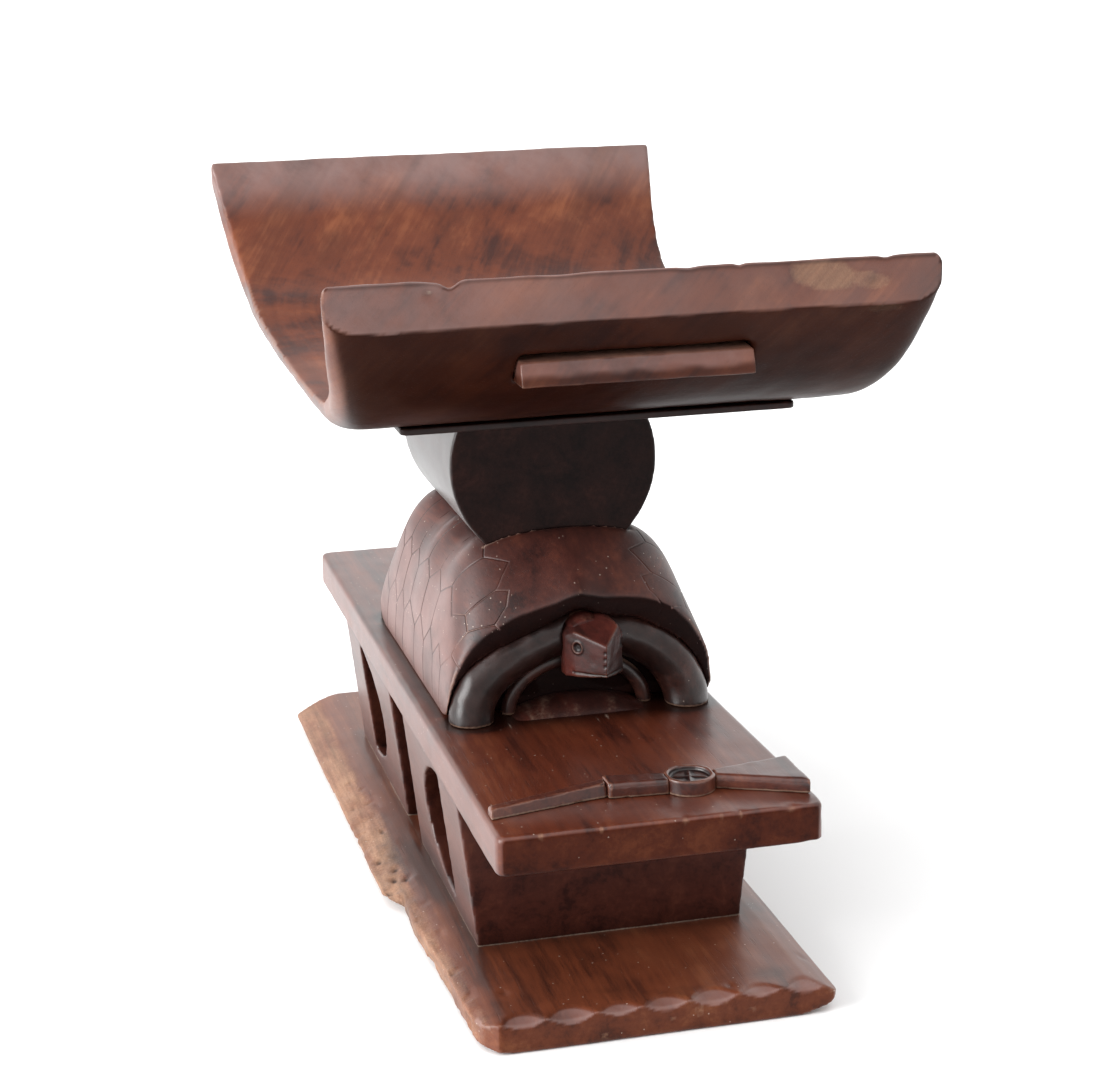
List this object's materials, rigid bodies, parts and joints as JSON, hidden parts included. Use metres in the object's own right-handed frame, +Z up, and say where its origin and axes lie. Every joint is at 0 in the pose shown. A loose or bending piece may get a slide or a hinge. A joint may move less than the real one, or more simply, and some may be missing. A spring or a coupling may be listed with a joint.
{
  "type": "carved stool",
  "caption": "Carved wooden stool: dished seat on a round drum, borne by a tortoise on a deck with a musket in relief, over a pierced pier on a thin base plank.",
  "frame": {"origin": "centre of the footprint on the floor", "axes": "+Z up; Y is the long axis, with the tortoise's head and the musket at -Y; X runs across"},
  "size_m": [0.3, 0.539, 0.3873],
  "materials": {
    "base_wood": "waxed, worn bare along the left edge",
    "pier_wood": "waxed, dull sheen",
    "deck_wood": "waxed, satin",
    "shell_wood": "waxed, satin, with incised scutes",
    "tortoise_wood": "dark stained, semi-gloss",
    "head_wood": "dark stained, semi-gloss",
    "relief_wood": "waxed, satin, dust in the corners",
    "drum_wood": "dark stained, satin",
    "seat_wood": "waxed, satin, bare patches on the front end"
  },
  "bodies": {
    "root": {"base_plate": "base_wood", "front_pier": "pier_wood", "rear_pier": "pier_wood", "deck_plate": "deck_wood", "tortoise_shell": "shell_wood", "front_left_leg": "tortoise_wood", "front_right_leg": "tortoise_wood", "hind_left_leg": "tortoise_wood", "hind_right_leg": "tortoise_wood", "front_belly_rim": "tortoise_wood", "rear_belly_rim": "tortoise_wood", "front_belly": "tortoise_wood", "rear_belly": "tortoise_wood", "tortoise_neck": "tortoise_wood", "tortoise_head": "head_wood", "tortoise_tail": "tortoise_wood", "musket_barrel": "relief_wood", "musket_breech": "relief_wood", "musket_pan": "relief_wood", "musket_butt": "relief_wood", "support_drum": "drum_wood", "seat_ledge": "drum_wood", "seat": "seat_wood", "front_lug": "seat_wood", "rear_lug": "seat_wood"}
  },
  "joints": []
}
